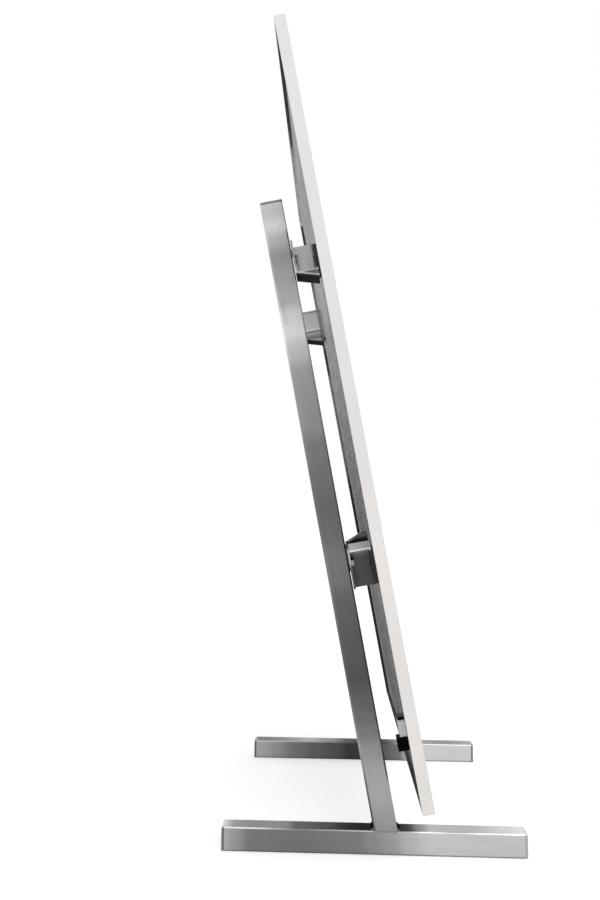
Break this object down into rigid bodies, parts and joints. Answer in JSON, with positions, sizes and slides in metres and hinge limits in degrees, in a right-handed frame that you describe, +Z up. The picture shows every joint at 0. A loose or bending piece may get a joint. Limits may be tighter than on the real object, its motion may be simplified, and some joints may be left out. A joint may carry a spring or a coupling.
{
  "type": "tabletop easel",
  "caption": "Two slanted brushed steel side frames on box-tube feet carry a plain white board, hung on keyhole brackets that lift off.",
  "frame": {"origin": "centre of the feet on the table, halfway between the two side frames", "axes": "+Z up; -Y is the side the white board faces; +X is to the right for a viewer in front of the board"},
  "size_m": [0.6, 0.32, 0.8606],
  "materials": {
    "stainless_tube": "brushed along the tube",
    "stainless_plate": "brushed",
    "weld": "ground",
    "bracket_steel": "satin sheet",
    "fastener_steel": "bright",
    "rail_white": "satin white",
    "face_white": "smooth white",
    "core_board": "plain fibreboard",
    "back_zinc": "zinc spangle",
    "anchor_steel": "plain",
    "buffer_black": "matt",
    "holder_light": "matt",
    "fastener_black": "blackened",
    "gasket_dark": "matt",
    "pad_dark": "matt"
  },
  "bodies": {
    "stand": {"left_foot_tube": "stainless_tube", "left_foot_front_plate": "stainless_plate", "left_foot_rear_plate": "stainless_plate", "left_upright_tube": "stainless_tube", "left_upright_cap": "stainless_plate", "left_weld_beads": "weld", "right_foot_tube": "stainless_tube", "right_foot_front_plate": "stainless_plate", "right_foot_rear_plate": "stainless_plate", "right_upright_tube": "stainless_tube", "right_upright_cap": "stainless_plate", "right_weld_beads": "weld", "rivet_nuts": "fastener_steel", "hanger_screws": "fastener_steel"},
    "board": {"left_upper_bracket": "bracket_steel", "left_lower_bracket": "bracket_steel", "right_upper_bracket": "bracket_steel", "right_lower_bracket": "bracket_steel", "bracket_screws": "fastener_black", "buffer_screws": "fastener_black", "board_left_rail": "rail_white", "board_right_rail": "rail_white", "board_top_rail": "rail_white", "board_bottom_rail": "rail_white", "corner_keys": "anchor_steel", "anchor_plates": "anchor_steel", "board_face_sheet": "face_white", "board_core": "core_board", "board_back_sheet": "back_zinc", "rubber_buffer": "buffer_black", "buffer_holder": "holder_light", "buffer_strip": "buffer_black", "back_gasket": "gasket_dark", "bracket_pads": "pad_dark"}
  },
  "joints": [
    {"name": "board_lift", "type": "slide", "parent": "stand", "child": "board", "axis": [0, 0.1874, 0.9823], "range_m": [0, 0.012]}
  ]
}
